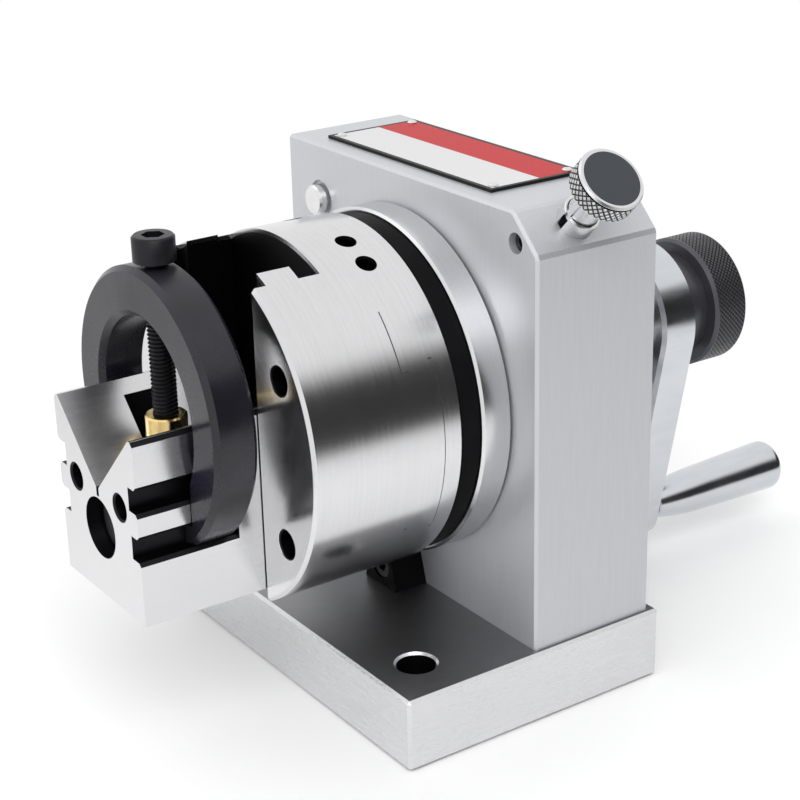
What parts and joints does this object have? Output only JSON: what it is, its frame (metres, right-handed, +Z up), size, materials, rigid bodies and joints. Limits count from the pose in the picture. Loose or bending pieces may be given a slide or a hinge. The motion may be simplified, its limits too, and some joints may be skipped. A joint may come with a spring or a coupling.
{
  "type": "punch former",
  "caption": "Bench grinding fixture: an indexed spindle with a T-slotted head, sliding V-block, clamping yoke, spring plunger and rear crank on a ground base",
  "frame": {"origin": "on the rest face of the base, beneath the spindle axis, in the plane of the headstock's front face", "axes": "+Z up; -Y along the spindle axis to the V-block, +Y to the crank; +X to the side with the index plunger"},
  "size_m": [0.1199, 0.2177, 0.1409],
  "materials": {
    "ground_steel": "ground and brushed bright steel",
    "headstock_steel": "finely ground light steel",
    "hardened_steel": "turned steel",
    "black_oxide": "black oxide with a thin oil sheen",
    "black_trim": "satin black",
    "bright_washer": "bright turned steel",
    "knurled_black": "black oxide with a diamond knurl",
    "brass": "turned brass",
    "bronze": "plain bearing bronze",
    "chrome": "polished chrome",
    "knob_steel": "bright steel with a diamond knurl",
    "cap_grey": "matte dark grey",
    "plate": "printed aluminium plate",
    "rivets": "bare aluminium"
  },
  "bodies": {
    "frame": {"base_plate": "ground_steel", "headstock": "headstock_steel", "headstock_screws": "black_oxide", "dowel_pins": "hardened_steel", "front_bush": "bronze", "rear_housing": "hardened_steel", "rear_bush": "bronze", "housing_screws": "black_oxide", "nameplate": "plate", "nameplate_rivets": "rivets", "plunger_sleeve": "hardened_steel", "sleeve_set_screw": "black_oxide", "stop_pin": "hardened_steel", "rest_block": "black_trim", "rest_block_screw": "black_oxide", "plunger_spring": "hardened_steel"},
    "spindle_assembly": {"spindle": "ground_steel", "index_disc": "hardened_steel", "index_disc_screws": "black_oxide", "thrust_washer": "hardened_steel", "bearing_nut": "hardened_steel", "spacer_ring": "black_trim", "slide_head": "ground_steel", "slide_head_screws": "black_oxide", "head_set_screws": "black_oxide", "crank_arm": "chrome", "crank_key": "hardened_steel", "grip_screw": "chrome"},
    "grip": {"crank_grip": "chrome"},
    "nut_washer": {"clamp_washer": "bright_washer"},
    "rear_nut": {"clamp_nut": "knurled_black"},
    "block_slide": {"v_block": "ground_steel", "t_nut": "ground_steel", "lock_screw": "black_oxide", "lock_washer": "black_oxide"},
    "yoke_frame": {"yoke": "black_oxide"},
    "clamp_pad": {"brass_pad": "brass", "pad_pin": "hardened_steel"},
    "clamp_spindle": {"clamp_screw": "black_oxide"},
    "plunger": {"plunger_pin": "hardened_steel", "plunger_knob": "knob_steel", "plunger_cap": "cap_grey"}
  },
  "joints": [
    {"name": "spindle_turn", "type": "hinge", "parent": "frame", "child": "spindle_assembly", "pos_m": [0, 0, 0.075], "axis": [0, 1, 0], "continuous": true},
    {"name": "block_height", "type": "slide", "parent": "spindle_assembly", "child": "block_slide", "axis": [0, 0, 1], "range_m": [-0.01, 0.012]},
    {"name": "yoke_reach", "type": "slide", "parent": "block_slide", "child": "yoke_frame", "axis": [0, -1, 0], "range_m": [0, 0.011]},
    {"name": "clamp_feed", "type": "slide", "parent": "yoke_frame", "child": "clamp_pad", "axis": [0, 0, 1], "range_m": [0, 0.0235]},
    {"name": "clamp_screw_turn", "type": "hinge", "parent": "clamp_pad", "child": "clamp_spindle", "pos_m": [0, -0.068, 0.1], "axis": [0, 0, 1], "continuous": true},
    {"name": "plunger_engage", "type": "slide", "parent": "frame", "child": "plunger", "axis": [-0.7071, 0, -0.7071], "range_m": [0, 0.005]},
    {"name": "grip_spin", "type": "hinge", "parent": "spindle_assembly", "child": "grip", "pos_m": [0, 0.1, 0.0155], "axis": [0, 1, 0], "continuous": true},
    {"name": "nut_release", "type": "slide", "parent": "spindle_assembly", "child": "nut_washer", "axis": [0, 1, 0], "range_m": [0, 0.003]},
    {"name": "nut_turn", "type": "hinge", "parent": "nut_washer", "child": "rear_nut", "pos_m": [0, 0.09, 0.075], "axis": [0, 1, 0], "continuous": true}
  ],
  "couplings": [
    {"joint": "clamp_screw_turn", "follows": "clamp_feed", "rad_per_m": 6283.2},
    {"joint": "nut_turn", "follows": "nut_release", "rad_per_m": 4188.8}
  ]
}
